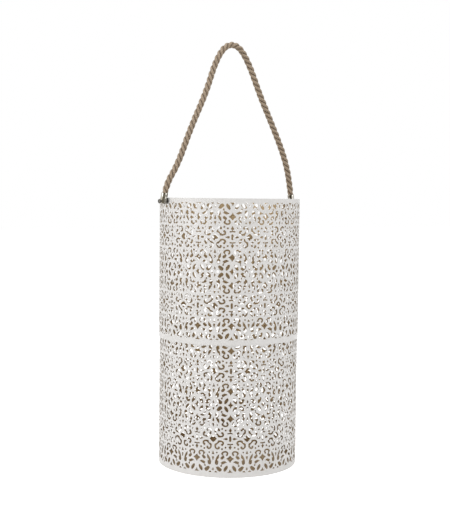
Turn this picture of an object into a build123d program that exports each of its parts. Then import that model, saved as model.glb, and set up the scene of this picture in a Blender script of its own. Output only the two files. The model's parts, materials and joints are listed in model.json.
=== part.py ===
from build123d import *
import os
from math import cos, radians, sin, tan

# Hanging lantern: two pierced steel sheets, each bent round into a hoop and telescoped into one
# open drum, a stamped base that closes its foot, and a rope bail whose two metal ends swing on
# bolts below the rim. Millimetres. The origin is the middle of the foot, where the lantern
# stands, and +Z is up. The bail swings about the line of its two bolts, which runs along X.

# ---------------------------------------------------------------- the drum
drum_diameter = 190.0
drum_height = 360.0
sheet = 0.8
sheet_fit = 0.05  # radial gap between two sheets, one inside the other
sheet_lap = 6.0  # how far the upper sheet comes down over the lower one
lower_trim = 10.2  # cut off the top of the lower sheet, otherwise the same as the upper one

# ---------------------------------------------------------------- the pierced pattern
columns = 13
flats_per_column = 4  # the sheet is folded on each column's own lines
front_turn_count = 17.5  # flats from the right-hand bolt round to the middle column
cells_high = 2  # cells up each sheet
top_margin = 5.5
bottom_margin = 7.0
side_bridge = 3.2  # metal left between two cut-outs side by side
high_bridge = 2.6  # and between two on a column's own line
edge_bridge = 1.7  # and above the last cut-outs of the trimmed sheet
core_height = 24.0  # the cut-out in the middle of a cell
flower_height = 19.0  # the one between two columns
leaf_length = 19.0
leaf_offset = 1.5  # from the column's line to the leaf's, in flats of the drum
leaf_lean = 1.0  # how far a leaf's tip stands in from its inner side
punch_past = 1.5  # how far a punch reaches past the sheet on either side

# ---------------------------------------------------------------- the seam up each sheet
seam_flat_count = 2  # plain flats left for the seam
seam_root = 0.22  # from the fold to the step that lifts the outer edge
seam_joggle = 1.8  # length of that step
seam_end_gap = 0.5  # between that step and the inner edge
seam_rest = 2.5  # from the outer edge to the next fold
seam_stop_gap = 1.0  # between the lower sheet's outer edge and the upper sheet's foot

# ---------------------------------------------------------------- the stamped base
base_fit = 0.05
flange_height = 6.0
flange_bend = 0.8

# ---------------------------------------------------------------- the bolts
bolt_diameter = 3.0
bolt_drop = 4.8  # bolt axis below the rim
bolt_fit = 0.05
bolt_tip = 1.2  # thread that shows past the nut
head_diameter = 6.0
head_height = 2.0
head_round = 1.0
head_gap = 0.2  # between the head and the ferrule's side
washer_diameter = 7.0
washer_thickness = 0.5
nut_flats = 5.5
nut_thickness = 2.4

# ---------------------------------------------------------------- the rope and its ferrules
rope_diameter = 8.0
rope_sides = 10  # a plain section that stands for the laid strands
rope_fit = 0.05
rope_seat = 3.2  # from the bolt axis up to the rope's end inside the ferrule
ferrule_wall = 0.45
ferrule_length = 14.0
ferrule_foot = 3.2  # from the bolt axis down to the closed end
ferrule_nose = 1.0  # the bevel round it
ferrule_lean = 10.0  # each end leans in towards the rope's top
ferrule_gap = 0.5  # between a leaning ferrule and the washer beside it
rope_lead_left = 20.0  # from the bolt axis, how far the rope runs in line with its ferrule
rope_lead_right = 30.0

# The rope's way over the top: along X, and above the rim.
rope_way = [
    (-83.0, 43.0),
    (-60.0, 92.0),
    (-39.0, 141.0),
    (-23.0, 182.0),
    (-9.0, 206.0),
    (11.0, 207.0),
    (28.0, 184.0),
    (47.0, 142.0),
    (69.0, 100.0),
    (88.0, 57.0),
]
rope_bend_share = 0.45  # of the shorter run beside a corner, given to that corner's arc

# ---------------------------------------------------------------- worked out from the above
drum_radius = drum_diameter / 2
flats_round = flats_per_column * columns + seam_flat_count
flat_angle = 360 / flats_round
flat_width = 2 * drum_radius * sin(radians(flat_angle / 2))
flat_shrink = cos(radians(flat_angle / 2))  # from a fold's radius to the middle of a flat
nested_radius = drum_radius - (sheet + sheet_fit) / flat_shrink
sheet_height = (drum_height + sheet_lap + lower_trim) / 2
lower_top = sheet_height - lower_trim
upper_foot = drum_height - sheet_height
cell_height = (sheet_height - top_margin - bottom_margin) / cells_high
cell_band = lower_trim - top_margin + edge_bridge  # from the cut-outs to the edge of their cell
diamond_width = 2 * flat_width - side_bridge
leaf_width = flat_width - side_bridge
star_height = cell_height / 2 - core_height / 2 - high_bridge - cell_band
star_rise = cell_height / 2 - cell_band - star_height / 2
leaf_rise = cell_height / 2 - cell_band - leaf_length / 2
front_angle = -front_turn_count * flat_angle
column_angle = flats_per_column * flat_angle
column_lines = [front_angle + column_angle * (k - (columns - 1) / 2) for k in range(columns)]
flower_lines = [angle + column_angle / 2 for angle in column_lines[:-1]]
left_sides = [angle - leaf_offset * flat_angle for angle in column_lines]
right_sides = [angle + leaf_offset * flat_angle for angle in column_lines]
seam_angle = front_angle + 180 + flat_angle / 2

os.makedirs("parts", exist_ok=True)


# ---------------------------------------------------------------- the two pierced sheets
def on_circle(radius, angle):
    return (radius * cos(radians(angle)), radius * sin(radians(angle)))


def seam_point(radius, along, out=0):
    """A point of the seam's flat in plan, this far along it and outside it."""
    x, y = on_circle(1, seam_angle)
    height = radius * flat_shrink + out
    return (x * height - y * along, y * height + x * along)


def strip(outer, inner):
    """A strip of sheet in plan, between these two lines of points."""
    Polygon(*outer, *reversed(inner), align=None)


def seam_stations(radius):
    """Along the seam's flat: the foot and the top of the step, then the inner and the outer edge."""
    half = radius * sin(radians(flat_angle / 2))
    foot = seam_root - half
    top = foot + seam_joggle
    return foot, top, top + seam_end_gap, half - seam_rest


def hoop_plan(radius):
    """The sheet once round in plan, from its inner edge to the last fold before the seam."""
    start = seam_stations(radius)[2]
    folds = [seam_angle + flat_angle * (k + 0.5) for k in range(flats_round)]
    outer = [on_circle(radius, fold) for fold in folds]
    inner = [on_circle(radius - sheet / flat_shrink, fold) for fold in folds]
    strip([seam_point(radius, start)] + outer, [seam_point(radius, start, -sheet)] + inner)


def lap_plan(radius):
    """The rest of the seam's flat: a step up, and the outer edge over the inner one."""
    lift = sheet + sheet_fit
    foot, top, _, end = seam_stations(radius)
    fold = seam_angle - flat_angle / 2
    way = [(foot, 0), (top, lift), (end, lift)]
    outer = [seam_point(radius, along, out) for along, out in way]
    inner = [seam_point(radius, along, out - sheet) for along, out in way]
    strip(
        [on_circle(radius, fold)] + outer,
        [on_circle(radius - sheet / flat_shrink, fold)] + inner,
    )


def punch_planes(radius, foot, angles):
    """A plane outside the wall at each angle, halfway up the pattern, facing outwards."""
    height = foot + bottom_margin + cells_high * cell_height / 2
    planes = []
    for angle in angles:
        x, y = on_circle(1, angle)
        origin = Vector(x, y) * (radius + punch_past) + Vector(0, 0, height)
        planes.append(Plane(origin=origin, x_dir=(-y, x, 0), z_dir=(x, y, 0)))
    return planes


def diamond(height):
    half = diamond_width / 2
    Polygon((half, 0), (0, height / 2), (-half, 0), (0, -height / 2), align=None)


def leaf(side, up):
    """A leaf on one side of a column, its tip towards the middle of its cell."""
    half = leaf_width / 2
    foot = up * leaf_length / 2
    Polygon((side * (leaf_lean - half), -foot), (side * half, foot), (-side * half, foot), align=None)


def cores_and_stars():
    """The cut-outs on a column's own line, three to a cell."""
    with GridLocations(0, cell_height, 1, cells_high):
        diamond(core_height)
        with Locations((0, star_rise), (0, -star_rise)):
            diamond(star_height)


def flowers():
    """The cut-outs midway between two columns."""
    with GridLocations(0, cell_height, 1, cells_high):
        diamond(flower_height)


def leaves(side):
    """The leaves on one side of a column, two to a cell."""
    with GridLocations(0, cell_height, 1, cells_high):
        for up in (1, -1):
            with Locations((0, up * leaf_rise)):
                leaf(side, up)


bolt_z = drum_height - bolt_drop
bolt_hole = bolt_diameter / 2 + bolt_fit

for name, radius, foot, top, lap_top in (
    ("lower_panel", nested_radius, 0, lower_top, upper_foot - seam_stop_gap),
    ("upper_panel", drum_radius, upper_foot, drum_height, drum_height),
):
    with BuildPart() as panel:
        with BuildSketch(Plane.XY.offset(foot)):
            hoop_plan(radius)
        extrude(amount=top - foot)
        with BuildSketch(Plane.XY.offset(foot)):
            lap_plan(radius)
        extrude(amount=lap_top - foot)
        with BuildSketch(*punch_planes(radius, foot, column_lines)):
            cores_and_stars()
        with BuildSketch(*punch_planes(radius, foot, flower_lines)):
            flowers()
        with BuildSketch(*punch_planes(radius, foot, left_sides)):
            leaves(-1)
        with BuildSketch(*punch_planes(radius, foot, right_sides)):
            leaves(1)
        extrude(amount=-2 * punch_past - sheet, mode=Mode.SUBTRACT)
        if top == drum_height:
            with BuildSketch(Plane.YZ):
                with Locations((0, bolt_z)):
                    Circle(bolt_hole)
            extrude(amount=drum_diameter, both=True, mode=Mode.SUBTRACT)
    panel.part.label = name
    export_step(panel.part, f"parts/{name}.step")


# ---------------------------------------------------------------- the stamped base
base_radius = nested_radius - (sheet + base_fit) / flat_shrink

with BuildPart() as base_plate:
    with BuildSketch():
        RegularPolygon(base_radius, flats_round, rotation=front_angle)
    extrude(amount=flange_height)
    with BuildSketch(Plane.XY.offset(sheet)):
        RegularPolygon(base_radius - sheet / flat_shrink, flats_round, rotation=front_angle)
    extrude(amount=flange_height, mode=Mode.SUBTRACT)
    chamfer(base_plate.faces().sort_by(Axis.Z)[0].edges(), flange_bend)
base_plate.part.label = "base_plate"
export_step(base_plate.part, "parts/base_plate.step")


# ---------------------------------------------------------------- the bolts and ferrules
lean = radians(ferrule_lean)
ferrule_radius = rope_diameter / 2 + rope_fit + ferrule_wall
ferrule_half = ferrule_radius / cos(lean)  # half its width along the bolt
wall_x = drum_radius * flat_shrink
nut_x = wall_x - sheet
ferrule_x = wall_x + washer_thickness + ferrule_gap + washer_diameter / 2 * tan(lean) + ferrule_half
head_x = ferrule_x + ferrule_half + head_diameter / 2 * tan(lean) + head_gap
tip_x = nut_x - nut_thickness - bolt_tip


def bolt_plane(side, x):
    """A plane across the bolt on this side, facing the middle of the drum."""
    return Plane(origin=(side * x, 0, bolt_z), x_dir=(0, side, 0), z_dir=(-side, 0, 0))


def ferrule_plane(side, along):
    """A plane across the ferrule on this side, this far up it from the bolt axis."""
    up = Vector(-side * sin(lean), 0, cos(lean))
    return Plane(origin=Vector(side * ferrule_x, 0, bolt_z) + up * along, x_dir=(0, 1, 0), z_dir=up)


for hand, side in (("left", -1), ("right", 1)):
    with BuildPart() as bolt:
        with BuildSketch(bolt_plane(side, head_x)):
            Circle(head_diameter / 2)
        extrude(amount=-head_height)
        outer_face = bolt.faces().sort_by(Axis.X)[0 if side < 0 else -1]
        chamfer(outer_face.edges(), head_round)
        with BuildSketch(bolt_plane(side, head_x)):
            Circle(bolt_diameter / 2)
        extrude(amount=head_x - tip_x)
    bolt.part.label = f"{hand}_bolt"
    export_step(bolt.part, f"parts/{hand}_bolt.step")

    with BuildPart() as washer:
        with BuildSketch(bolt_plane(side, wall_x + washer_thickness)):
            Circle(washer_diameter / 2)
            Circle(bolt_hole, mode=Mode.SUBTRACT)
        extrude(amount=washer_thickness)
    washer.part.label = f"{hand}_washer"
    export_step(washer.part, f"parts/{hand}_washer.step")

    with BuildPart() as nut:
        with BuildSketch(bolt_plane(side, nut_x)):
            RegularPolygon(nut_flats / 2, 6, major_radius=False)
            Circle(bolt_hole, mode=Mode.SUBTRACT)
        extrude(amount=nut_thickness)
    nut.part.label = f"{hand}_nut"
    export_step(nut.part, f"parts/{hand}_nut.step")

    with BuildPart() as ferrule:
        with BuildSketch(ferrule_plane(side, -ferrule_foot)):
            Circle(ferrule_radius)
        extrude(amount=ferrule_length)
        chamfer(ferrule.faces().sort_by(Axis.Z)[0].edges(), ferrule_nose)
        with BuildSketch(ferrule_plane(side, rope_seat)):
            Circle(ferrule_radius - ferrule_wall)
        extrude(amount=ferrule_length, mode=Mode.SUBTRACT)
        with BuildSketch(bolt_plane(side, head_x)):
            Circle(bolt_hole)
        extrude(amount=head_x - wall_x, mode=Mode.SUBTRACT)
    ferrule.part.label = f"{hand}_ferrule"
    export_step(ferrule.part, f"parts/{hand}_ferrule.step")


# ---------------------------------------------------------------- the rope
def on_ferrule(side, along):
    """A point on the ferrule's own line, as (along X, above the rim)."""
    return (side * (ferrule_x - along * sin(lean)), along * cos(lean) - bolt_drop)


rope_points = [on_ferrule(-1, rope_seat), on_ferrule(-1, rope_lead_left)]
rope_points += rope_way
rope_points += [on_ferrule(1, rope_lead_right), on_ferrule(1, rope_seat)]
rope_runs = [Vector(*b) - Vector(*a) for a, b in zip(rope_points, rope_points[1:])]
rope_radii = []
for before, after in zip(rope_runs, rope_runs[1:]):
    shorter = min(before.length, after.length)
    half_turn = radians(before.get_angle(after)) / 2
    rope_radii.append(rope_bend_share * shorter / tan(half_turn))

with BuildPart() as rope:
    with BuildLine(Plane(origin=(0, 0, drum_height), x_dir=(1, 0, 0), z_dir=(0, -1, 0))) as way:
        FilletPolyline(*rope_points, radius=rope_radii)
    with BuildSketch(Plane(origin=way.line @ 0, x_dir=(0, 1, 0), z_dir=way.line % 0)) as section:
        RegularPolygon(rope_diameter / 2, rope_sides)
    sweep(path=way.line)
rope.part.label = "rope"
export_step(rope.part, "parts/rope.step")

rope_length = sum(edge.length for edge in way.edges())
print("rope runs", [round(run.length, 1) for run in rope_runs])
print("rope radii", [round(radius, 1) for radius in rope_radii])
print("rope length", round(rope_length, 1))
print("rope volume over section times length", round(rope.part.volume / section.sketch.area / rope_length, 5))
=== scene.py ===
import json
from math import atan2, ceil, cos, pi, radians, sin

import bpy
import numpy as np
from mathutils import Matrix, Vector
from mathutils.geometry import delaunay_2d_cdt


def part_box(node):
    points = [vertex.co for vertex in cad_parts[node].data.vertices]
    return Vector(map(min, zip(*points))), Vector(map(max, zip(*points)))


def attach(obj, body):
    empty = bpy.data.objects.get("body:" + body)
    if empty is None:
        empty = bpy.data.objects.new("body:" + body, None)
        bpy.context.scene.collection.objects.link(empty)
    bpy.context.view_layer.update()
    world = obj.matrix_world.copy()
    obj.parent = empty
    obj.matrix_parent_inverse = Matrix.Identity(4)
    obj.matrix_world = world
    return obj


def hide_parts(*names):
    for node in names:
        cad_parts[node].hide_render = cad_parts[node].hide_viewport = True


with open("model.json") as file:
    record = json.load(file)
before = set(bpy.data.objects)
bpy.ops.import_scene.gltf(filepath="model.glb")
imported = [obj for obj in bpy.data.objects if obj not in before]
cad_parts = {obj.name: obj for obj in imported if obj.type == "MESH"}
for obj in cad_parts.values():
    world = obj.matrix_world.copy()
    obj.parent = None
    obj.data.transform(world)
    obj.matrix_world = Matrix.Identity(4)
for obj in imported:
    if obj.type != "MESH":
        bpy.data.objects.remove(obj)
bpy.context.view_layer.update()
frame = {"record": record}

# Hanging lantern: the dressed model. Metres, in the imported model's own frame: the origin is the
# middle of the foot, +Z is up and X runs through the two bolts of the bail.

MM = 0.001
record = frame["record"]
hinge = next(j for j in record["behaviour"]["joints"] if j["name"] == "bail_swing")
bolt_height = hinge["pos_m"][2]


# ---------------------------------------------------------------- small helpers
def new_object(name, mesh, body, materials, stands_for):
    """Puts a finished mesh into the scene as one piece of the lantern."""
    piece = bpy.data.objects.new(name, mesh)
    bpy.context.scene.collection.objects.link(piece)
    for material in materials:
        mesh.materials.append(material)
    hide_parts(*stands_for)
    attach(piece, body)
    return piece


def mesh_of(name, points, faces, smooth_below, face_materials=None):
    """A mesh whose edges are smooth where its faces meet at less than this many degrees."""
    mesh = bpy.data.meshes.new(name)
    mesh.from_pydata([tuple(p) for p in points], [], [tuple(f) for f in faces])
    if face_materials is not None:
        mesh.polygons.foreach_set("material_index", face_materials)
    mesh.polygons.foreach_set("use_smooth", [True] * len(mesh.polygons))
    mesh.set_sharp_from_angle(angle=radians(smooth_below))
    mesh.update()
    return mesh


# ---------------------------------------------------------------- the camera
# The lens stands level with the rim and looks a little down, from the left of the front.
camera_azimuth = radians(-30.5)
camera_distance = 1.3478
camera_height = 0.36
camera_pitch = radians(3.52)
camera_yaw = radians(-0.24)
camera_roll = radians(0.60)
camera_lens = 68.67

toward = Vector((-sin(camera_azimuth), cos(camera_azimuth), 0))
toward = Matrix.Rotation(-camera_yaw, 3, "Z") @ toward
across = toward.cross(Vector((0, 0, 1)))
forward = toward * cos(camera_pitch) - Vector((0, 0, sin(camera_pitch)))
upward = across.cross(forward)
right = across * cos(camera_roll) + upward * sin(camera_roll)
upright = upward * cos(camera_roll) - across * sin(camera_roll)

camera_data = bpy.data.cameras.new("camera")
camera_data.sensor_fit = "VERTICAL"
camera_data.sensor_height = 36.0
camera_data.lens = camera_lens
camera_data.clip_start = 0.05
camera_data.clip_end = 40.0
camera = bpy.data.objects.new("camera", camera_data)
bpy.context.scene.collection.objects.link(camera)
place = Matrix((right, upright, -forward)).transposed().to_4x4()
place.translation = Vector(
    (sin(camera_azimuth) * camera_distance, -cos(camera_azimuth) * camera_distance, camera_height)
)
camera.matrix_world = place
bpy.context.scene.camera = camera


# ---------------------------------------------------------------- node helpers
def link(tree, out, socket):
    tree.links.new(out, socket)


def node(tree, kind, **settings):
    made = tree.nodes.new(kind)
    for key, value in settings.items():
        setattr(made, key, value)
    return made


def noise(tree, vector, scale, detail, rough=0.55):
    made = node(tree, "ShaderNodeTexNoise")
    made.inputs["Scale"].default_value = scale
    made.inputs["Detail"].default_value = detail
    made.inputs["Roughness"].default_value = rough
    link(tree, vector, made.inputs["Vector"])
    return made.outputs["Fac"]


def ramp(tree, value, low, high, start=0.0, end=1.0):
    """The value drawn out from low..high to start..end, held at both ends."""
    made = node(tree, "ShaderNodeMapRange")
    made.inputs["From Min"].default_value = low
    made.inputs["From Max"].default_value = high
    made.inputs["To Min"].default_value = start
    made.inputs["To Max"].default_value = end
    link(tree, value, made.inputs["Value"])
    return made.outputs["Result"]


def blend_color(tree, factor, first, second):
    made = node(tree, "ShaderNodeMix", data_type="RGBA")
    for key, value in ((6, first), (7, second)):
        if isinstance(value, tuple):
            made.inputs[key].default_value = (*value, 1.0)
        else:
            link(tree, value, made.inputs[key])
    link(tree, factor, made.inputs[0])
    return made.outputs[2]


def calc(tree, operation, first, second):
    made = node(tree, "ShaderNodeMath", operation=operation)
    for key, value in ((0, first), (1, second)):
        if isinstance(value, (int, float)):
            made.inputs[key].default_value = value
        else:
            link(tree, value, made.inputs[key])
    return made.outputs[0]


def bump(tree, height, strength, distance):
    made = node(tree, "ShaderNodeBump")
    made.inputs["Strength"].default_value = strength
    made.inputs["Distance"].default_value = distance
    link(tree, height, made.inputs["Height"])
    return made.outputs["Normal"]


def srgb(r, g, b):
    """A colour as it reads on the screen, from 0 to 255, in the shader's own linear light."""
    def one(c):
        c /= 255
        return c / 12.92 if c <= 0.04045 else ((c + 0.055) / 1.055) ** 2.4
    return (one(r), one(g), one(b))


def new_material(name):
    made = bpy.data.materials.new(name)
    made.use_nodes = True
    tree = made.node_tree
    shader = next(n for n in tree.nodes if n.type == "BSDF_PRINCIPLED")
    place_of = node(tree, "ShaderNodeTexCoord").outputs["Object"]
    return made, tree, shader, place_of


# Fine grain that several surfaces share: its mask and its surface normal.
grain = bpy.data.node_groups.new("fine grain", "ShaderNodeTree")
grain.interface.new_socket("Place", in_out="INPUT", socket_type="NodeSocketVector")
for label, start in (("Scale", 1.0), ("Strength", 0.1)):
    made_socket = grain.interface.new_socket(label, in_out="INPUT", socket_type="NodeSocketFloat")
    made_socket.default_value = start
grain.interface.new_socket("Mask", in_out="OUTPUT", socket_type="NodeSocketFloat")
grain.interface.new_socket("Normal", in_out="OUTPUT", socket_type="NodeSocketVector")
grain_in = grain.nodes.new("NodeGroupInput")
grain_out = grain.nodes.new("NodeGroupOutput")
scaled = grain.nodes.new("ShaderNodeVectorMath")
scaled.operation = "SCALE"
grain.links.new(grain_in.outputs["Place"], scaled.inputs[0])
grain.links.new(grain_in.outputs["Scale"], scaled.inputs["Scale"])
grain_noise = noise(grain, scaled.outputs[0], 1.0, 2.0, 0.5)
grain_bump = node(grain, "ShaderNodeBump")
grain_bump.inputs["Distance"].default_value = 0.05 * MM
grain.links.new(grain_noise, grain_bump.inputs["Height"])
grain.links.new(grain_in.outputs["Strength"], grain_bump.inputs["Strength"])
grain.links.new(grain_noise, grain_out.inputs["Mask"])
grain.links.new(grain_bump.outputs["Normal"], grain_out.inputs["Normal"])


def use_grain(tree, place_of, scale, strength):
    made = node(tree, "ShaderNodeGroup", node_tree=grain)
    link(tree, place_of, made.inputs["Place"])
    made.inputs["Scale"].default_value = scale
    made.inputs["Strength"].default_value = strength
    return made.outputs["Mask"], made.outputs["Normal"]


# ---------------------------------------------------------------- the finishes
# Off-white powder coat: nearly even, with a faint orange peel and a little warmth in patches.
coat, tree, shader, place_of = new_material("off_white_coat")
patch = ramp(tree, noise(tree, place_of, 34.0, 3.0), 0.35, 0.65)
fleck, peel = use_grain(tree, place_of, 1500.0, 0.16)
tint = blend_color(tree, patch, srgb(224, 222, 220), srgb(219, 217, 214))
tint = blend_color(tree, ramp(tree, fleck, 0.62, 0.78, 0.0, 0.35), tint, srgb(205, 202, 198))
link(tree, tint, shader.inputs["Base Color"])
link(tree, ramp(tree, patch, 0.0, 1.0, 0.46, 0.54), shader.inputs["Roughness"])
link(tree, peel, shader.inputs["Normal"])
shader.inputs["Specular IOR Level"].default_value = 0.4

# The inside: a thin bronze-gold lacquer, cloudy, with a fine sparkle.
lacquer, tree, shader, place_of = new_material("bronze_gold_lacquer")
cloud = ramp(tree, noise(tree, place_of, 60.0, 4.0), 0.36, 0.66)
fleck, peel = use_grain(tree, place_of, 2600.0, 0.35)
tint = blend_color(tree, cloud, srgb(158, 138, 110), srgb(182, 161, 127))
tint = blend_color(tree, ramp(tree, fleck, 0.58, 0.74, 0.0, 0.6), tint, srgb(218, 192, 144))
link(tree, tint, shader.inputs["Base Color"])
link(tree, ramp(tree, cloud, 0.0, 1.0, 0.44, 0.56), shader.inputs["Roughness"])
link(tree, peel, shader.inputs["Normal"])
shader.inputs["Metallic"].default_value = 0.75

# The cut faces of the piercing: a thin brown-grey film where the two finishes meet, made darker than
# either finish as painted shade inside the holes.
cut_film_and_shade, tree, shader, place_of = new_material("cut_film_and_painted_shade")
cloud = ramp(tree, noise(tree, place_of, 420.0, 3.0), 0.36, 0.64)
tint = blend_color(tree, cloud, srgb(150, 136, 118), srgb(172, 160, 142))
link(tree, tint, shader.inputs["Base Color"])
shader.inputs["Roughness"].default_value = 0.6
shader.inputs["Specular IOR Level"].default_value = 0.4

# Zinc-plated steel of the bolts, washers and nuts: dulled, with a cloudy yellow-grey cast.
zinc, tree, shader, place_of = new_material("dulled_zinc")
cloud = ramp(tree, noise(tree, place_of, 700.0, 4.0), 0.35, 0.65)
fleck, rough_face = use_grain(tree, place_of, 6000.0, 0.25)
tint = blend_color(tree, cloud, srgb(112, 108, 102), srgb(84, 80, 75))
link(tree, tint, shader.inputs["Base Color"])
link(tree, ramp(tree, cloud, 0.0, 1.0, 0.30, 0.44), shader.inputs["Roughness"])
link(tree, rough_face, shader.inputs["Normal"])
shader.inputs["Metallic"].default_value = 1.0

# Chrome of the rope's ends: painted reflections as light and dark bands down it, fine lines round it
# and a few soft smears.
chrome, tree, shader, place_of = new_material("bright_chrome")
lines = node(tree, "ShaderNodeMapping")
lines.inputs["Scale"].default_value = (120.0, 120.0, 5200.0)
link(tree, place_of, lines.inputs["Vector"])
drawn = noise(tree, lines.outputs["Vector"], 1.0, 2.0)
reflection_band_stretch = node(tree, "ShaderNodeMapping")
reflection_band_stretch.inputs["Scale"].default_value = (330.0, 330.0, 16.0)
link(tree, place_of, reflection_band_stretch.inputs["Vector"])
painted_reflection_bands = ramp(tree, noise(tree, reflection_band_stretch.outputs["Vector"], 1.0, 1.0), 0.44, 0.56)
smear = ramp(tree, noise(tree, place_of, 260.0, 3.0), 0.42, 0.72, 0.0, 0.4)
# Painted reflection: the base colour runs from a bright band to a dark olive band down the cup.
tint = blend_color(tree, painted_reflection_bands, srgb(184, 181, 173), srgb(76, 70, 55))
link(tree, blend_color(tree, smear, tint, srgb(160, 154, 142)), shader.inputs["Base Color"])
link(tree, ramp(tree, smear, 0.0, 0.4, 0.14, 0.24), shader.inputs["Roughness"])
link(tree, bump(tree, drawn, 0.06, 0.04 * MM), shader.inputs["Normal"])
shader.inputs["Metallic"].default_value = 1.0

# Jute: pale and dark fibres that run with the yarns, read from the strands' own lay, and painted shade
# down in the grooves between the strands.
jute, tree, shader, place_of = new_material("twisted_jute")
along = node(tree, "ShaderNodeUVMap", uv_map="lay").outputs["UV"]
stretch = node(tree, "ShaderNodeMapping")
stretch.inputs["Scale"].default_value = (0.55, 26.0, 1.0)
link(tree, along, stretch.inputs["Vector"])
fibres = noise(tree, stretch.outputs["Vector"], 1.0, 4.0, 0.6)
clump = ramp(tree, noise(tree, place_of, 210.0, 3.0), 0.38, 0.64)
tint = blend_color(tree, ramp(tree, fibres, 0.40, 0.60), srgb(130, 111, 89), srgb(196, 179, 158))
tint = blend_color(tree, ramp(tree, clump, 0.0, 1.0, 0.0, 0.45), tint, srgb(156, 138, 116))
rusty = ramp(tree, noise(tree, stretch.outputs["Vector"], 0.45, 2.0), 0.60, 0.70, 0.0, 0.55)
tint = blend_color(tree, rusty, tint, srgb(160, 112, 72))
crown = node(tree, "ShaderNodeUVMap", uv_map="crown").outputs["UV"]
depth = node(tree, "ShaderNodeSeparateXYZ")
link(tree, crown, depth.inputs["Vector"])
# Painted shade: the jute darkens towards the grooves between the strands.
tint = blend_color(tree, ramp(tree, depth.outputs["X"], 0.1, 0.8, 0.6, 0.0), tint, srgb(99, 80, 61))
link(tree, tint, shader.inputs["Base Color"])
link(tree, bump(tree, fibres, 0.8, 0.3 * MM), shader.inputs["Normal"])
shader.inputs["Roughness"].default_value = 0.86
shader.inputs["Sheen Weight"].default_value = 0.25
shader.inputs["Sheen Roughness"].default_value = 0.5
shader.inputs["Specular IOR Level"].default_value = 0.25


# ---------------------------------------------------------------- the rope
rope_route = [
    (-0.100469, 0.0, 0.358351),
    (-0.0970, 0.0, 0.3778),
    (-0.0802, 0.0, 0.4035),
    (-0.0616, 0.0, 0.452),
    (-0.0382, 0.0, 0.501),
    (-0.0248, 0.0, 0.542),
    (-0.009, 0.0, 0.566),
    (0.011, 0.0, 0.567),
    (0.028, 0.0, 0.544),
    (0.0462, 0.0, 0.502),
    (0.0682, 0.0, 0.460),
    (0.0887, 0.0, 0.417),
    (0.0972, 0.0, 0.3847),
    (0.100469, 0.0, 0.358351),
]
strands = 3
rope_lay = 24 * MM  # length of one whole turn of a strand
strand_radius = 2.04 * MM
strand_offset = 2.34 * MM
strand_sides = 25
strand_step = 0.75 * MM
yarns = 5  # yarns that show as ridges round a strand
yarn_lay = 17 * MM
yarn_groove = 0.07  # how deep the strand dips between two yarns, of its radius
unevenness = 0.03  # how much a strand swells and thins along its way
long_wave = 0.041
short_wave = 0.0133
wave_shift = 2.1  # in radians, from one strand's waves to the next one's
squeeze_length = 8 * MM  # how much of each end its ferrule squeezes
squeezed_to = 0.9
strand_shift = 7  # from one strand's fibres to the next one's, in yarns, so that none match


def read_spline(points, resolution):
    """The points of one smooth spline that has these as its control points."""
    data = bpy.data.curves.new("route", "CURVE")
    data.dimensions = "3D"
    data.resolution_u = resolution
    spline = data.splines.new("NURBS")
    spline.points.add(len(points) - 1)
    for point, (x, y, z) in zip(spline.points, points):
        point.co = (x, y, z, 1.0)
    spline.order_u = 3
    spline.use_endpoint_u = True
    holder = bpy.data.objects.new("route", data)
    bpy.context.scene.collection.objects.link(holder)
    bpy.context.view_layer.update()
    line = bpy.data.meshes.new_from_object(holder)
    read = np.array([v.co[:] for v in line.vertices])
    bpy.data.objects.remove(holder)
    bpy.data.curves.remove(data)
    bpy.data.meshes.remove(line)
    return read


def even_steps(line, step):
    """The same line with its points this far apart, and how far along it each one is."""
    gaps = np.linalg.norm(np.diff(line, axis=0), axis=1)
    far = np.concatenate([[0.0], np.cumsum(gaps)])
    count = int(ceil(far[-1] / step))
    marks = np.linspace(0.0, far[-1], count + 1)
    return np.stack([np.interp(marks, far, line[:, k]) for k in range(3)], axis=1), marks


def directions(line):
    ways = np.gradient(line, axis=0)
    return ways / np.linalg.norm(ways, axis=1)[:, None]


rope_line = read_spline(rope_route, 48)
rope_points, rope_marks = even_steps(rope_line, strand_step)
rope_length = float(rope_marks[-1])
rope_way = directions(rope_points)
side_way = np.tile(np.array([0.0, 1.0, 0.0]), (len(rope_points), 1))
top_way = np.cross(side_way, rope_way)

# The metal ends squeeze the rope, which swells out to its full width over as much again.
from_end = np.minimum(rope_marks, rope_length - rope_marks)
eased = np.clip(from_end / squeeze_length - 1.0, 0.0, 1.0)
squeezed = squeezed_to + (1.0 - squeezed_to) * eased * eased * (3.0 - 2.0 * eased)
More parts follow.
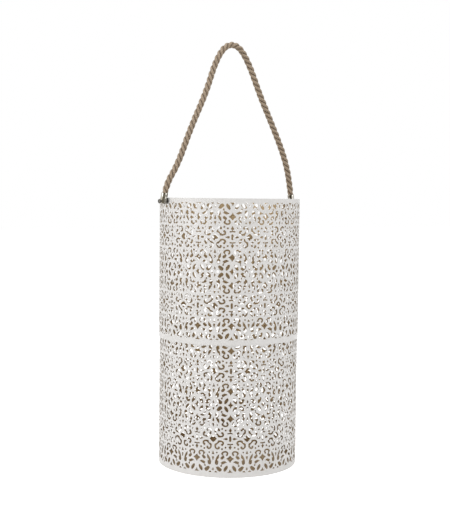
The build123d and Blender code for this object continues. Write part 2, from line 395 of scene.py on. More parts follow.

# The strands turn as a left-hand screw does. Each corner of a face carries two readings for the jute:
# where it lies along and round its strand, and how far it is turned out of the rope, which sets the
# painted shade in the grooves.
along_rope = rope_marks * 1000  # in millimetres
verts, faces, lay_u, lay_v, proud = [], [], [], [], []
for k in range(strands):
    turn = 2 * pi * k / strands - 2 * pi * rope_marks / rope_lay
    centre = rope_points + (strand_offset * squeezed)[:, None] * (
        np.cos(turn)[:, None] * top_way + np.sin(turn)[:, None] * side_way
    )
    way = directions(centre)
    out = np.cos(turn)[:, None] * top_way + np.sin(turn)[:, None] * side_way
    out -= np.sum(out * way, axis=1)[:, None] * way
    out /= np.linalg.norm(out, axis=1)[:, None]
    beside = np.cross(way, out)
    base = len(verts)
    for i, mark in enumerate(rope_marks):
        long_part = sin(2 * pi * mark / long_wave + k * wave_shift)
        wave = long_part * sin(2 * pi * mark / short_wave + k)
        full = strand_radius * squeezed[i] * (1.0 + unevenness * wave)
        for j in range(strand_sides):
            a = 2 * pi * j / strand_sides
            ridge = abs(cos((yarns * a + 2 * pi * yarns * mark / yarn_lay) / 2))
            r = full * (1.0 - yarn_groove + yarn_groove * ridge)
            verts.append(centre[i] + r * (cos(a) * out[i] + sin(a) * beside[i]))
    rings = len(rope_marks)
    for i in range(rings - 1):
        for j in range(strand_sides):
            a0 = base + i * strand_sides + j
            a1 = base + i * strand_sides + (j + 1) % strand_sides
            faces.append((a0, a1, a1 + strand_sides, a0 + strand_sides))
            slide = yarns * rope_marks[i] / yarn_lay
            ahead = yarns * rope_marks[i + 1] / yarn_lay
            lay_u += [along_rope[i]] * 2 + [along_rope[i + 1]] * 2
            j0 = k * strand_shift + yarns * j / strand_sides
            j1 = k * strand_shift + yarns * (j + 1) / strand_sides
            lay_v += [j0 + slide, j1 + slide, j1 + ahead, j0 + ahead]
            c0 = cos(2 * pi * j / strand_sides)
            c1 = cos(2 * pi * (j + 1) / strand_sides)
            proud += [c0, c1, c1, c0]
    for ring, order in ((0, -1), (rings - 1, 1)):
        loop = [base + ring * strand_sides + j for j in range(strand_sides)][::order]
        faces.append(tuple(loop))
        lay_u += [along_rope[ring]] * strand_sides
        lay_v += [0.0] * strand_sides
        proud += [0.0] * strand_sides
rope_mesh = mesh_of("laid_rope", verts, faces, smooth_below=60.0)
lay = rope_mesh.uv_layers.new(name="lay")
lay.data.foreach_set("uv", np.stack([lay_u, lay_v], axis=1).ravel())
crown = rope_mesh.uv_layers.new(name="crown")
crown.data.foreach_set("uv", np.stack([proud, proud], axis=1).ravel())
rope = new_object("laid_rope", rope_mesh, "handle", [jute], ["rope"])


# ---------------------------------------------------------------- the drum's sizes
# The sheets are laid out in millimetres, and brought to metres once they are rolled.
sheet = 0.8
sheet_fit = 0.05
fold_height = 0.08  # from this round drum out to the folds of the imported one, made of narrow flats
upper_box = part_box("upper_panel")
lower_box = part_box("lower_panel")
drum_radius = upper_box[1][1] / MM - fold_height
drum_height = upper_box[1][2] / MM
upper_foot = upper_box[0][2] / MM
lower_top = lower_box[1][2] / MM
sheet_height = drum_height - upper_foot
lower_radius = drum_radius - sheet - sheet_fit
front_angle = radians(-118.1)  # the middle column's place, round from the right-hand bolt
columns = 13
pitch = 44.65  # from column to column, round the upper sheet
top_margin = 5.5
bottom_margin = 7.0
cells_high = 2
cell_height = (sheet_height - top_margin - bottom_margin) / cells_high
half_wide = pitch / 2
half_high = cell_height / 2
trimmed = bottom_margin + cells_high * cell_height - lower_top  # off the lower sheet's pattern
trim_bridge = 0.8  # metal left between a trimmed edge and the nearest cut-outs
same_place = 1e-3  # points nearer than this are one point

# ---------------------------------------------------------------- the cut-outs of one unit
# A unit of the arabesque is the same left and right of its column's line and above and below its
# own middle, so only one quarter is drawn: along is the distance from the column's line and up
# the distance from the middle. Each cut-out is one closed outline; where two touch, they join.


def circle(along, up, radius, count=14):
    return [
        (along + radius * cos(2 * pi * k / count), up + radius * sin(2 * pi * k / count))
        for k in range(count)
    ]


def curve_point(p0, p1, p2, p3, t):
    """A point of the smooth curve from p1 to p2, t of the way along it."""
    return 0.5 * (
        2 * p1 + (p2 - p0) * t + (2 * p0 - 5 * p1 + 4 * p2 - p3) * t * t
        + (3 * p1 - p0 - 3 * p2 + p3) * t * t * t
    )


def flowing(points, corners, steps):
    """A closed outline that flows through these points and turns sharply at the corners."""
    count = len(points)
    out = []
    for k in range(count):
        p1 = Vector(points[k])
        p2 = Vector(points[(k + 1) % count])
        p0 = Vector(points[k - 1])
        p3 = Vector(points[(k + 2) % count])
        if k in corners:
            p0 = p1 + (p1 - p2)
        if (k + 1) % count in corners:
            p3 = p2 + (p2 - p1)
        out += [tuple(curve_point(p0, p1, p2, p3, s / steps)) for s in range(steps)]
    return out


def open_flow(points, steps):
    """An open line through these points."""
    out = []
    for k in range(len(points) - 1):
        p1 = Vector(points[k])
        p2 = Vector(points[k + 1])
        p0 = Vector(points[k - 1]) if k else p1 + (p1 - p2)
        p3 = Vector(points[k + 2]) if k + 2 < len(points) else p2 + (p2 - p1)
        out += [curve_point(p0, p1, p2, p3, s / steps) for s in range(steps)]
    out.append(Vector(points[-1]))
    return out


cap_steps = 5  # round the half circle at each end of a stroke


def stroke(points, widths, steps):
    """The outline of a stroke through these points, as wide as it says at each, with round ends."""
    line = open_flow(points, steps)
    marks = [k / steps for k in range(len(line))]
    wide = np.interp(marks, range(len(widths)), widths)
    left, right_side = [], []
    for k, point in enumerate(line):
        way = line[min(k + 1, len(line) - 1)] - line[max(k - 1, 0)]
        way.normalize()
        across_way = Vector((-way.y, way.x))
        left.append(point + across_way * wide[k] / 2)
        right_side.append(point - across_way * wide[k] / 2)
    caps = []
    for end, before, width in ((line[-1], line[-2], wide[-1]), (line[0], line[1], wide[0])):
        start = atan2(end.y - before.y, end.x - before.x) + pi / 2
        caps.append([
            end + Vector((cos(start - pi * k / cap_steps), sin(start - pi * k / cap_steps))) * width / 2
            for k in range(1, cap_steps)
        ])
    return [tuple(p) for p in left + caps[0] + right_side[::-1] + caps[1]]


def about(points, axis):
    """An outline across a line of symmetry, from its part on one side of it."""
    return points + [(2 * axis - a, u) for a, u in reversed(points) if abs(a - axis) > same_place]


def unit_outlines(fan):
    """The cut-outs of a quarter. fan says whether the ones on the line between columns are there."""
    shapes = [
        # the pill in the very middle, and the drops that point away from it
        stroke([(0, -2.3), (0, 2.3)], [2.9, 2.9], 1),
        flowing([(9.8, 0), (7.2, 0.85), (5.4, 1.55), (3.7, 1.0), (3.4, 0), (3.7, -1.0),
                 (5.4, -1.55), (7.2, -0.85)], (0,), 3),
        # the scroll shaped like a 3, lying on its side round the unit's middle
        stroke([(10.4, 7.5), (9.1, 5.8), (9.9, 3.9), (12.3, 3.0), (14.9, 3.4), (16.4, 5.5),
                (18.6, 7.1), (19.6, 9.4), (18.8, 11.7), (16.6, 13.0), (14.7, 12.0), (14.8, 11.2)],
               [2.6, 2.3, 2.2, 2.1, 2.6, 1.7, 2.4, 2.2, 2.1, 2.0, 2.4, 2.6], 3),
        circle(10.5, 7.6, 1.5),
        circle(15.0, 3.5, 1.5),
        circle(19.2, 7.6, 1.4),
        circle(14.8, 11.2, 1.45),
        # the bar with a kite on its neck
        stroke([(-3.1, 6.9), (0, 7.25), (3.1, 6.9)], [1.7, 1.5, 1.7], 2),
        about([(0, 14.5), (1.0, 12.6), (2.1, 10.9), (1.5, 9.8), (0.5, 9.1), (0.45, 7.8),
               (0, 7.6)], 0),
        # loose dots
        circle(6.0, 11.2, 1.25, 12),
        circle(10.6, 13.1, 1.25, 12),
        circle(17.3, 17.9, 1.05, 12),
        # the scroll shaped like a question mark, and its foot
        stroke([(4.3, 21.0), (3.3, 19.0), (4.2, 17.2), (6.5, 16.6), (8.9, 17.3), (10.3, 19.0),
                (9.5, 20.6), (8.9, 22.2), (9.2, 23.6)],
               [2.4, 2.1, 2.1, 2.1, 2.2, 2.6, 1.5, 1.2, 1.6], 3),
        circle(10.3, 19.1, 1.4),
        stroke([(8.9, 23.6), (10.7, 25.1)], [3.4, 3.8], 2),
        # the star on the column's line, its upper sides drawn in
        about([(0, 31.4), (1.1, 29.3), (3.0, 27.2), (5.2, 25.8), (2.5, 24.2), (0, 21.4)], 0),
        # the tall leaf
        flowing([(14.4, 19.8), (17.3, 23.1), (19.0, 26.85), (19.9, 31.0), (19.2, 33.3),
                 (17.5, 34.1), (15.8, 33.1), (15.4, 31.0), (15.0, 29.35), (17.0, 27.3),
                 (14.8, 25.4), (14.4, 23.1)], (0, 8, 9, 10), 3),
        # the crescent leaf, with a drop on its neck
        flowing([(3.75, 30.6), (6.5, 28.9), (9.0, 29.1), (11.5, 30.4), (11.9, 31.4), (10.2, 33.3),
                 (7.7, 32.3), (6.0, 31.2)], (0, 5), 3),
        stroke([(10.3, 32.4), (11.3, 34.2), (11.5, 35.2)], [0.9, 0.9, 1.2], 2),
        circle(11.5, 35.3, 1.2, 12),
        # the two petals under the unit's edge
        flowing([(3.5, 34.6), (2.7, 36.9), (4.4, 40.6), (7.3, 42.9), (8.3, 41.4), (8.1, 38.9),
                 (6.5, 36.4), (4.8, 35.0)], (0, 3), 3),
        flowing([(18.5, 37.3), (15.6, 36.0), (11.0, 39.35), (11.5, 41.85), (13.3, 42.9),
                 (16.0, 41.4)], (0, 4), 3),
        # the star on the unit's edge
        about([(0, half_high + 4.55), (1.4, half_high + 1.6), (3.75, half_high),
               (1.4, half_high - 1.6), (0, half_high - 4.55)], 0),
        circle(18.5, half_high, 1.9),
    ]
    if fan:
        shapes += [
            about([(half_wide, 4.5), (half_wide - 2.0, 3.1), (half_wide - 4.8, 0),
                   (half_wide - 2.0, -3.1), (half_wide, -4.5)], half_wide),
            about([(half_wide, 15.2), (half_wide - 1.75, 20.0), (half_wide, 20.3)], half_wide),
            about([(half_wide, 28.5), (half_wide - 0.9, 25.9), (half_wide - 1.5, 23.6),
                   (half_wide, 22.6)], half_wide),
            about([(half_wide, 41.5), (half_wide - 0.9, 41.0), (half_wide - 1.2, 39.9),
                   (half_wide - 0.6, 38.3), (half_wide, 37.2)], half_wide),
        ]
    return shapes


def cut_to(points, axis, limit, keep_below):
    """What is left of an outline on one side of a line of constant along or up."""
    out = []
    sign = 1 if keep_below else -1
    for k, point in enumerate(points):
        before = points[k - 1]
        inside = sign * (limit - point[axis]) >= 0
        was_inside = sign * (limit - before[axis]) >= 0
        if inside != was_inside:
            t = (limit - before[axis]) / (point[axis] - before[axis])
            met = [before[m] + t * (point[m] - before[m]) for m in (0, 1)]
            met[axis] = limit
            out.append(tuple(met))
        if inside:
            out.append(point)
    return out


def holds(outline, point):
    """Whether this outline goes round the point."""
    turns = 0
    x, y = point
    for k, (x1, y1) in enumerate(outline):
        x0, y0 = outline[k - 1]
        if (y0 <= y) != (y1 <= y):
            met = x0 + (y - y0) / (y1 - y0) * (x1 - x0)
            if met > x:
                turns += 1 if y1 > y0 else -1
    return turns != 0


wide_steps, high_steps = 8, 16  # even steps along a quarter's sides
inner_clear = 1.0  # from a cut-out to the nearest loose point in the metal
joined_within = 1e-4  # points of the outlines nearer than this become one


def pierced_quarter(fan, trim=0.0):
    """The metal of a quarter unit, as flat triangles: its points and its faces. Where its top is
    trimmed, the cut-outs that the trimming would open are left out."""
    high = half_high - trim
    shapes = []
    for shape in unit_outlines(fan):
        if trim and max(up for _, up in shape) > high - trim_bridge:
            continue
        for axis, limit, below in ((0, 0.0, False), (0, half_wide, True),
                                   (1, 0.0, False), (1, high, True)):
            if shape:
                shape = cut_to(shape, axis, limit, below)
        if len(shape) > 2:
            shapes.append(shape)
    coords, edges = [], []

    def add_loop(points):
        start = len(coords)
        coords.extend(Vector(p) for p in points)
        edges.extend((start + k, start + (k + 1) % len(points)) for k in range(len(points)))

    edge_points = [(half_wide * k / wide_steps, 0.0) for k in range(wide_steps)]
    edge_points += [(half_wide, high * k / high_steps) for k in range(high_steps)]
    edge_points += [(half_wide * (1 - k / wide_steps), high) for k in range(wide_steps)]
    edge_points += [(0.0, high * (1 - k / high_steps)) for k in range(high_steps)]
    add_loop(edge_points)
    for shape in shapes:
        add_loop(shape)
    for i in range(1, wide_steps):
        for j in range(1, high_steps):
            spot = (half_wide * i / wide_steps, high * j / high_steps)
            clear = min(
                (spot[0] - p[0]) ** 2 + (spot[1] - p[1]) ** 2 for shape in shapes for p in shape
            )
            if clear > inner_clear ** 2 and not any(holds(shape, spot) for shape in shapes):
                coords.append(Vector(spot))
    points, _, faces = delaunay_2d_cdt(coords, edges, [], 0, joined_within)[:3]
    metal = []
    for face in faces:
        middle = sum((points[i] for i in face), Vector((0, 0))) / len(face)
        if not any(holds(shape, middle) for shape in shapes):
            metal.append(tuple(face))
    return np.array([p[:] for p in points]), np.array(metal)


quarters = {
    (fan, trim): pierced_quarter(fan, trim) for fan in (True, False) for trim in (0.0, trimmed)
}


def grid(along, up, leave_out=None):
    """A plain strip of sheet between these lines, as points and triangles."""
    points = np.array([(a, u) for u in up for a in along])
    faces = []
    for j in range(len(up) - 1):
        for i in range(len(along) - 1):
            if leave_out and leave_out(along[i], up[j]):
                continue
            p = j * len(along) + i
            q = p + len(along)
            faces += [(p, p + 1, q + 1), (p, q + 1, q)]
    return points, np.array(faces)


seam_under = 3.0  # each edge of a sheet past the seam's middle
seam_bend = (2.9, 4.7)  # from the pattern's end, where the outer edge steps up over the inner
strip_wide = (2 * pi * drum_radius - columns * pitch) / 2
seam_clear = 0.8  # the rows of the lower seam's outer edge start this far below the upper sheet


def levels_of(values):
    """Which of the distinct levels each value is on, where a micrometre apart counts as the same."""
    order = np.argsort(values)
    levels = np.empty(len(values), dtype=np.int64)
    levels[order] = np.cumsum(np.diff(values[order], prepend=values[order[0]]) > same_place)
    return levels


def flat_sheet(foot, lap_top, trim):
    """One whole pierced sheet laid out flat: along is measured from its middle column. From
    lap_top up, the seam's outer edge is left off."""
    parts_points, parts_faces = [], []
    count = 0

    def add(points, faces, along=0.0, up=0.0, turn_along=1, turn_up=1):
        nonlocal count
        parts_points.append(points * (turn_along, turn_up) + (along, up))
        order = faces if turn_along * turn_up > 0 else faces[:, ::-1]
        parts_faces.append(order + count)
        count += len(points)

    first = -(columns - 1) // 2
    for k in range(columns):
        along = (first + k) * pitch
        for cell in range(cells_high):
            up = foot + bottom_margin + (cell + 0.5) * cell_height
            for turn in (-1, 1):
                at_end = (k == 0 and turn < 0) or (k == columns - 1 and turn > 0)
                at_top = cell == cells_high - 1
                add(*quarters[not at_end, trim if at_top else 0.0], along, up, turn, 1)
                add(*quarters[not at_end, 0.0], along, up, turn, -1)
    points = np.concatenate(parts_points)
    low = foot + bottom_margin
    high = low + cells_high * cell_height - trim
    end = columns * pitch / 2

    def on_line(axis, value):
        found = np.sort(points[np.abs(points[:, axis] - value) < same_place][:, 1 - axis])
        return found[np.diff(found, prepend=found[0] - 1.0) > same_place]

    add(*grid(on_line(1, low), [foot, foot + bottom_margin / 2, low]))
    top_band = [] if trim else [high + top_margin / 2, high + top_margin]
    if top_band:
        add(*grid(on_line(1, high), [high] + top_band))
    ups = np.concatenate([[foot, foot + bottom_margin / 2], on_line(0, end), top_band])
    left = np.linspace(-end - strip_wide - seam_under, -end, 8)
    add(*grid(left, ups))
    # The outer edge's lines are closer where it steps up between its two bends.
    over = np.array([0.0, 1.5, seam_bend[0], 3.3, 4.3, seam_bend[1], 6.5, 8.0, 9.6,
                     strip_wide + seam_under]) + end
    add(*grid(over, ups, lambda a, u: a > end + seam_bend[0] - 0.1 and u >= lap_top))
    points = np.concatenate(parts_points)
    faces = np.concatenate(parts_faces)
    levels = np.stack([levels_of(points[:, 0]), levels_of(points[:, 1])], axis=1)
    _, first_of, same = np.unique(levels, axis=0, return_index=True, return_inverse=True)
    faces = same.ravel()[faces]
    solid = (faces[:, 0] != faces[:, 1]) & (faces[:, 1] != faces[:, 2]) & (faces[:, 0] != faces[:, 2])
    return points[first_of], faces[solid]


def lift_at(past):
    """How far the outer edge of the seam stands off, this far past the pattern's end."""
    t = np.clip((past - seam_bend[0]) / (seam_bend[1] - seam_bend[0]), 0, 1)
    return (sheet + sheet_fit) * t * t * (3 - 2 * t)


sheet_smooth = 40.0  # edges where faces meet at fewer degrees than this are smooth


def rolled_sheet(name, radius, foot, lap_top, trim, node_name):
    """The flat sheet rolled round, with its thickness: coat outside and over its top and bottom edges,
    lacquer inside, and a thin film on the other cut faces, darkened with painted shade."""
    flat, faces = flat_sheet(foot, lap_top, trim)
    angle = front_angle + flat[:, 0] / drum_radius
    lifted = radius + lift_at(flat[:, 0] - columns * pitch / 2)
    ways = np.stack([np.cos(angle), np.sin(angle), np.zeros(len(angle))], axis=1)
    level = np.stack([np.zeros(len(angle)), np.zeros(len(angle)), flat[:, 1]], axis=1)
    outer = ways * lifted[:, None] + level
    inner = ways * (lifted - sheet)[:, None] + level
    count = len(flat)

    sides = np.concatenate([faces[:, [0, 1]], faces[:, [1, 2]], faces[:, [2, 0]]])
    code = sides[:, 0].astype(np.int64) * count + sides[:, 1]
    back = sides[:, 1].astype(np.int64) * count + sides[:, 0]
    rim = sides[~np.isin(code, back)]
    walls = np.stack([rim[:, 1], rim[:, 0], rim[:, 0] + count, rim[:, 1] + count], axis=1)

    points = np.concatenate([outer, inner]) * MM
    mesh = bpy.data.meshes.new(name)
    total = len(faces) * 6 + len(walls) * 4
    polygons = len(faces) * 2 + len(walls)
    mesh.vertices.add(len(points))
    mesh.vertices.foreach_set("co", points.ravel())
    mesh.loops.add(total)
    corners = np.concatenate([faces.ravel(), (faces[:, ::-1] + count).ravel(), walls.ravel()])
    mesh.loops.foreach_set("vertex_index", corners.astype(np.int32))
    mesh.polygons.add(polygons)
    starts = np.concatenate([
        np.arange(len(faces) * 2) * 3, len(faces) * 6 + np.arange(len(walls)) * 4
    ])
    mesh.polygons.foreach_set("loop_start", starts.astype(np.int32))
    finish = np.zeros(polygons, dtype=np.int32)
    finish[len(faces):len(faces) * 2] = 1
    at_end = np.isin(np.round(flat[:, 1], 3), np.round([foot, flat[:, 1].max()], 3))
    finish[len(faces) * 2:] = np.where(at_end[rim[:, 0]] & at_end[rim[:, 1]], 0, 2)
    mesh.polygons.foreach_set("material_index", finish)
    mesh.polygons.foreach_set("use_smooth", np.ones(polygons, dtype=bool))
    mesh.update(calc_edges=True)
    mesh.validate()
    mesh.set_sharp_from_angle(angle=radians(sheet_smooth))
    normals = np.zeros((total, 3))
    normals[:len(faces) * 3] = ways[faces.ravel()]
    normals[len(faces) * 3:len(faces) * 6] = -ways[faces[:, ::-1].ravel()]
    mesh.normals_split_custom_set(normals.tolist())
    finishes = [coat, lacquer, cut_film_and_shade]
    new_object(name, mesh, "lantern", finishes, [node_name])


lower_lap_top = upper_foot - seam_clear
upper_lap_top = 2 * drum_height  # past the rim: the upper sheet's outer edge runs all the way up
rolled_sheet("pierced_lower_sheet", lower_radius, 0.0, lower_lap_top, trimmed, "lower_panel")
rolled_sheet("pierced_upper_sheet", drum_radius, upper_foot, upper_lap_top, 0.0, "upper_panel")


# ---------------------------------------------------------------- turned pieces
turned_smooth = 30.0  # in degrees, as for the sheets


def turned(name, profile, sides, place=None, insides=()):
    """A closed mesh turned round an axis from (radius, along) pairs. A radius may vary round it.
    insides are the profile's stretches that take the second finish."""
    place = place or Matrix.Identity(4)
    points, faces, finishes = [], [], []
    rows = []
    for m, (radius, along) in enumerate(profile):
        if m and profile[m] == profile[0]:
            rows.append(rows[0])
            continue
        if radius == 0:
            points.append(place @ Vector((0, 0, along)))
            rows.append([len(points) - 1] * sides)
            continue
        row = []
        for k in range(sides):
            a = 2 * pi * k / sides
            r = radius(a) if callable(radius) else radius
            points.append(place @ Vector((r * cos(a), r * sin(a), along)))
            row.append(len(points) - 1)
        rows.append(row)
    for m in range(len(rows) - 1):
        for k in range(sides):
            n = (k + 1) % sides
            face = []
            for index in (rows[m][k], rows[m][n], rows[m + 1][n], rows[m + 1][k]):
                if index not in face:
                    face.append(index)
            if len(face) > 2:
                faces.append(face)
                finishes.append(1 if m in insides else 0)
    return mesh_of(name, points, faces, turned_smooth, finishes)


def ring_profile(inner, outer, low, high, edge):
    """A ring's section with its four edges eased, closed on itself."""
    return [
        (inner + edge, low), (outer - edge, low), (outer, low + edge), (outer, high - edge),
        (outer - edge, high), (inner + edge, high), (inner, high - edge), (inner, low + edge),
        (inner + edge, low),
    ]


def cut_away(mesh, place, size):
    """The mesh with a box taken out of it."""
    w, d, h = (s / 2 for s in size)
    corners = [(x, y, z) for x in (-w, w) for y in (-d, d) for z in (-h, h)]
    faces = [(0, 1, 3, 2), (4, 6, 7, 5), (0, 4, 5, 1), (2, 3, 7, 6), (0, 2, 6, 4), (1, 5, 7, 3)]
    box_mesh = bpy.data.meshes.new("cutter")
    box_mesh.from_pydata([place @ Vector(c) for c in corners], [], faces)
    cutter = bpy.data.objects.new("cutter", box_mesh)
    target = bpy.data.objects.new("target", mesh)
    for made in (cutter, target):
        bpy.context.scene.collection.objects.link(made)
    cutting = target.modifiers.new("cut", "BOOLEAN")
    cutting.operation = "DIFFERENCE"
    cutting.solver = "EXACT"
    cutting.object = cutter
    bpy.context.view_layer.update()
    result = bpy.data.meshes.new_from_object(
        target.evaluated_get(bpy.context.evaluated_depsgraph_get())
    )
    result.name = mesh.name
    for made in (cutter, target):
        data = made.data
        bpy.data.objects.remove(made)
        bpy.data.meshes.remove(data)
    result.polygons.foreach_set("use_smooth", [True] * len(result.polygons))
    result.set_sharp_from_angle(angle=radians(turned_smooth))
    return result


# ---------------------------------------------------------------- the base
# The plate's outside from the middle out and up its flange, then its inside back to the middle.
base_outer = (lower_radius - sheet - sheet_fit) * MM
base_inner = base_outer - sheet * MM
floor_top = sheet * MM
flange_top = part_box("base_plate")[1][2]
eased_edge = 0.12 * MM
small_ring, large_ring = 40 * MM, 80 * MM  # rings of points on the plate's flat
base_profile = [
    (0.0, 0.0), (small_ring, 0.0), (large_ring, 0.0), (base_inner, 0.0),
    (base_outer - 0.42 * MM, 0.10 * MM), (base_outer - 0.12 * MM, 0.40 * MM),
    (base_outer, floor_top), (base_outer, flange_top - eased_edge),
    (base_outer - eased_edge, flange_top), (base_inner + eased_edge, flange_top),
    (base_inner, flange_top - eased_edge), (base_inner, 1.5 * MM),
    (base_outer - 1.0 * MM, 1.05 * MM), (base_outer - 1.5 * MM, floor_top),
    (large_ring, floor_top), (small_ring, floor_top), (0.0, floor_top),
]
base_inside = range(8, 16)  # the profile's stretches from the flange's top edge inward
base_mesh = turned("stamped_base", base_profile, 180, insides=base_inside)
new_object("stamped_base", base_mesh, "lantern", [coat, lacquer], ["base_plate"])


# ---------------------------------------------------------------- bolts, washers and nuts
thread_pitch = 0.5 * MM
thread_start = 13.4 * MM  # along the bolt from the top of its head
thread_radius = 1.47 * MM
thread_depth = 0.28 * MM
thread_rows = 5  # rows of points to each turn of the thread
tip_length = 0.45 * MM  # of the plain end past the thread
head_profile = [
    (0.0, 0.0), (0.8, 0.03), (1.5, 0.14), (2.1, 0.36), (2.55, 0.68), (2.85, 1.08), (2.98, 1.5),
    (3.0, 1.8), (2.92, 1.98), (2.8, 2.0), (1.55, 2.0), (1.46, 2.1),
]
tip_profile = [(1.15, 0.15), (0.95, 0.0), (0.0, 0.0)]  # each with how far it is from the end
drive_slot = (0.85 * MM, 8 * MM, 1.7 * MM)  # across, along and twice as deep as it is cut
slot_turns = {"left": radians(28), "right": radians(-52)}
washer_bore = 1.56
washer_radius = 3.5
washer_thickness = 0.45
washer_fit = 0.01  # between the washer and the wall
washer_edge = 0.09
nut_flats = 5.5 * MM
nut_bore = 1.56 * MM
nut_mouth = 1.75 * MM  # radius of the bore's eased mouth
mouth_depth = 0.2 * MM
nut_face = 2.55 * MM  # radius of the flat ring on either side of a nut
nut_cone = 2.62 * MM  # where the cone that eases its corners starts
cone_slope = 1.5
nut_steps = (0.08, 0.16, 0.24, 0.34)  # how far down the cone its rows of points are


def thread(radius, depth, along):
    """The radius round a screw thread at this height."""
    def at(angle):
        t = (along / thread_pitch - angle / (2 * pi)) % 1.0
        return radius - depth * abs(2 * t - 1)
    return at


def hexagon(flats, widest):
    """The radius round a six-sided bar whose corners are cut down to this widest."""
    def at(angle):
        return min(flats / 2 / cos((angle % (pi / 3)) - pi / 6), widest)
    return at


def across_bolt(side, x):
    """Places a turned piece on a bolt's axis, its own along pointing into the drum from x."""
    matrix = Matrix(((0, 0, -side), (1, 0, 0), (0, -side, 0))).to_4x4()
    matrix.translation = Vector((side * x, 0, bolt_height))
    return matrix


for hand, side in (("left", -1), ("right", 1)):
    bolt_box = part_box(f"{hand}_bolt")
    reach = sorted((abs(bolt_box[0][0]), abs(bolt_box[1][0])))
    length = reach[1] - reach[0]
    profile = [(r * MM, a * MM) for r, a in head_profile]
    along = thread_start
    profile.append((profile[-1][0], along))
    while along < length - tip_length:
        profile.append((thread(thread_radius, thread_depth, along), along))
        along += thread_pitch / thread_rows
    profile += [(r * MM, length - a * MM) for r, a in tip_profile]
    bolt_mesh = turned(f"{hand}_slotted_bolt", profile, 40, across_bolt(side, reach[1]))
    slot_place = across_bolt(side, reach[1]) @ Matrix.Rotation(slot_turns[hand], 4, "Z")
    bolt_mesh = cut_away(bolt_mesh, slot_place, drive_slot)
    new_object(f"{hand}_slotted_bolt", bolt_mesh, "lantern", [zinc], [f"{hand}_bolt"])

    ring = ring_profile(washer_bore, washer_radius, 0.0, washer_thickness, washer_edge)
    washer_face = (drum_radius + washer_thickness + washer_fit) * MM
    washer_mesh = turned(
        f"{hand}_pressed_washer", [(r * MM, a * MM) for r, a in ring], 48,
        across_bolt(side, washer_face),
    )
    new_object(
        f"{hand}_pressed_washer", washer_mesh, "lantern", [zinc], [f"{hand}_washer"]
    )

    nut_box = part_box(f"{hand}_nut")
    nut_reach = max(abs(nut_box[0][0]), abs(nut_box[1][0]))
    thick = nut_box[1][0] - nut_box[0][0]
    cone = [(hexagon(nut_flats, nut_cone + cone_slope * a * MM), a * MM) for a in nut_steps]
    rows = [(nut_mouth, 0.0), (nut_face, 0.0)] + cone
    rows += [(radius, thick - down) for radius, down in reversed(cone)]
    rows += [(nut_face, thick), (nut_mouth, thick), (nut_bore, thick - mouth_depth),
             (nut_bore, mouth_depth), (nut_mouth, 0.0)]
    nut_mesh = turned(f"{hand}_hex_nut", rows, 60, across_bolt(side, nut_reach))
    new_object(f"{hand}_hex_nut", nut_mesh, "lantern", [zinc], [f"{hand}_nut"])


# ---------------------------------------------------------------- the rope's metal ends
rope_seat = 3.2 * MM  # from the bolt's axis up to the cup's floor, where the rope ends
ferrule_profile = [
    (0.0, -3.2), (2.6, -3.2), (3.3, -3.13), (3.85, -2.9), (4.25, -2.5), (4.45, -2.0), (4.5, -1.5),
    (4.5, 5.3), (4.46, 5.45), (4.36, 5.6), (4.33, 5.85), (4.33, 6.35), (4.36, 6.6), (4.46, 6.75),
    (4.5, 6.9), (4.5, 10.45), (4.46, 10.65), (4.37, 10.77), (4.27, 10.8), (4.17, 10.77),
    (4.08, 10.65), (4.05, 10.45), (4.05, 3.2), (0.0, 3.2),
]
for hand, seat, lead in (
    ("left", rope_route[0], rope_route[1]),
    ("right", rope_route[-1], rope_route[-2]),
):
    up = (Vector(lead) - Vector(seat)).normalized()
    beside = Vector((0, 1, 0))
    matrix = Matrix((beside.cross(up), beside, up)).transposed().to_4x4()
    matrix.translation = Vector(seat) - up * rope_seat
    ferrule_mesh = turned(
        f"{hand}_rope_cup", [(r * MM, a * MM) for r, a in ferrule_profile], 64, matrix
    )
    new_object(
        f"{hand}_rope_cup", ferrule_mesh, "handle", [chrome],
        [f"{hand}_ferrule"],
    )


# ---------------------------------------------------------------- the stage
def is_direct_look(tree):
    """1 for rays that come straight from the camera, a mirror or clear glass."""
    path = node(tree, "ShaderNodeLightPath")
    seen = calc(tree, "MAXIMUM", path.outputs["Is Camera Ray"], path.outputs["Is Glossy Ray"])
    return calc(tree, "MAXIMUM", seen, path.outputs["Is Transmission Ray"])


floor_material, tree, shader, _ = new_material("pale_floor")
shader.inputs["Base Color"].default_value = (*srgb(240, 240, 240), 1.0)
shader.inputs["Roughness"].default_value = 0.9
shader.inputs["Specular IOR Level"].default_value = 0.0
glow = node(tree, "ShaderNodeEmission")
glow.inputs["Color"].default_value = (1, 1, 1, 1)
link(tree, calc(tree, "MULTIPLY", is_direct_look(tree), 0.56), glow.inputs["Strength"])
both = node(tree, "ShaderNodeAddShader")
output = next(n for n in tree.nodes if n.type == "OUTPUT_MATERIAL")
link(tree, shader.outputs["BSDF"], both.inputs[0])
link(tree, glow.outputs["Emission"], both.inputs[1])
link(tree, both.outputs["Shader"], output.inputs["Surface"])

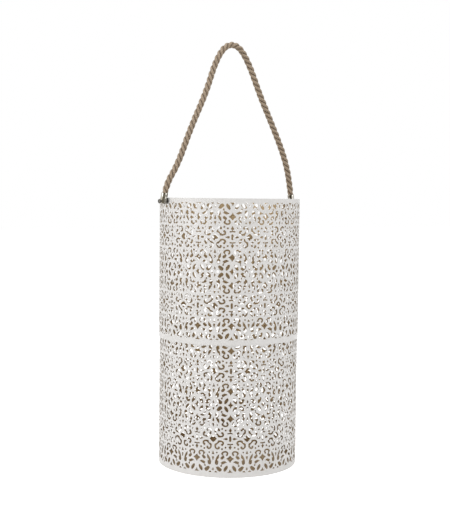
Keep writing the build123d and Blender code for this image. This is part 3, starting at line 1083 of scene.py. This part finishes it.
floor_half = 9  # metres from the lantern to each side
floor_mesh = bpy.data.meshes.new("floor")
floor_mesh.from_pydata(
    [(x * floor_half, y * floor_half, 0) for x, y in ((-1, -1), (1, -1), (1, 1), (-1, 1))],
    [], [(0, 1, 2, 3)],
)
floor_mesh.materials.append(floor_material)
floor = bpy.data.objects.new("floor", floor_mesh)
floor.location.z = -0.05 * MM  # a hair under the base
bpy.context.scene.collection.objects.link(floor)

world = bpy.data.worlds.new("studio")
bpy.context.scene.world = world
world.use_nodes = True
tree = world.node_tree
tree.nodes.clear()
ambient = node(tree, "ShaderNodeBackground")
ambient.inputs["Color"].default_value = (1.0, 0.998, 0.994, 1)
ambient.inputs["Strength"].default_value = 0.55
white = node(tree, "ShaderNodeBackground")
white.inputs["Color"].default_value = (1, 1, 1, 1)
white.inputs["Strength"].default_value = 1.0
mixed = node(tree, "ShaderNodeMixShader")
link(tree, is_direct_look(tree), mixed.inputs[0])
link(tree, ambient.outputs[0], mixed.inputs[1])
link(tree, white.outputs[0], mixed.inputs[2])
link(tree, mixed.outputs[0], node(tree, "ShaderNodeOutputWorld").inputs["Surface"])

level_across = Vector((across.x, across.y, 0)).normalized()
level_toward = Vector((toward.x, toward.y, 0)).normalized()
aim_height = 0.28


def lamp(name, sideways, back, height, size, energy, color):
    """A soft square lamp aimed at the lantern. Sideways and back are as the camera sees them."""
    data = bpy.data.lights.new(name, "AREA")
    data.size = size
    data.energy = energy
    data.color = color
    made = bpy.data.objects.new(name, data)
    made.location = level_across * sideways + level_toward * back + Vector((0, 0, height))
    aim = made.location - Vector((0, 0, aim_height))
    made.rotation_euler = aim.to_track_quat("Z", "Y").to_euler()
    bpy.context.scene.collection.objects.link(made)


lamp("key", -1.8, -0.8, 0.8, 1.1, 13.0, (1.0, 0.995, 0.99))
lamp("fill", 1.9, -0.8, 0.8, 1.2, 9.0, (0.99, 0.995, 1.0))
lamp("top", 0.0, -0.5, 1.8, 1.0, 10.5, (1.0, 1.0, 1.0))
lamp("back", 0.3, 1.9, 1.5, 1.2, 4.0, (1.0, 0.995, 0.99))

bpy.context.scene.view_settings.view_transform = "Standard"
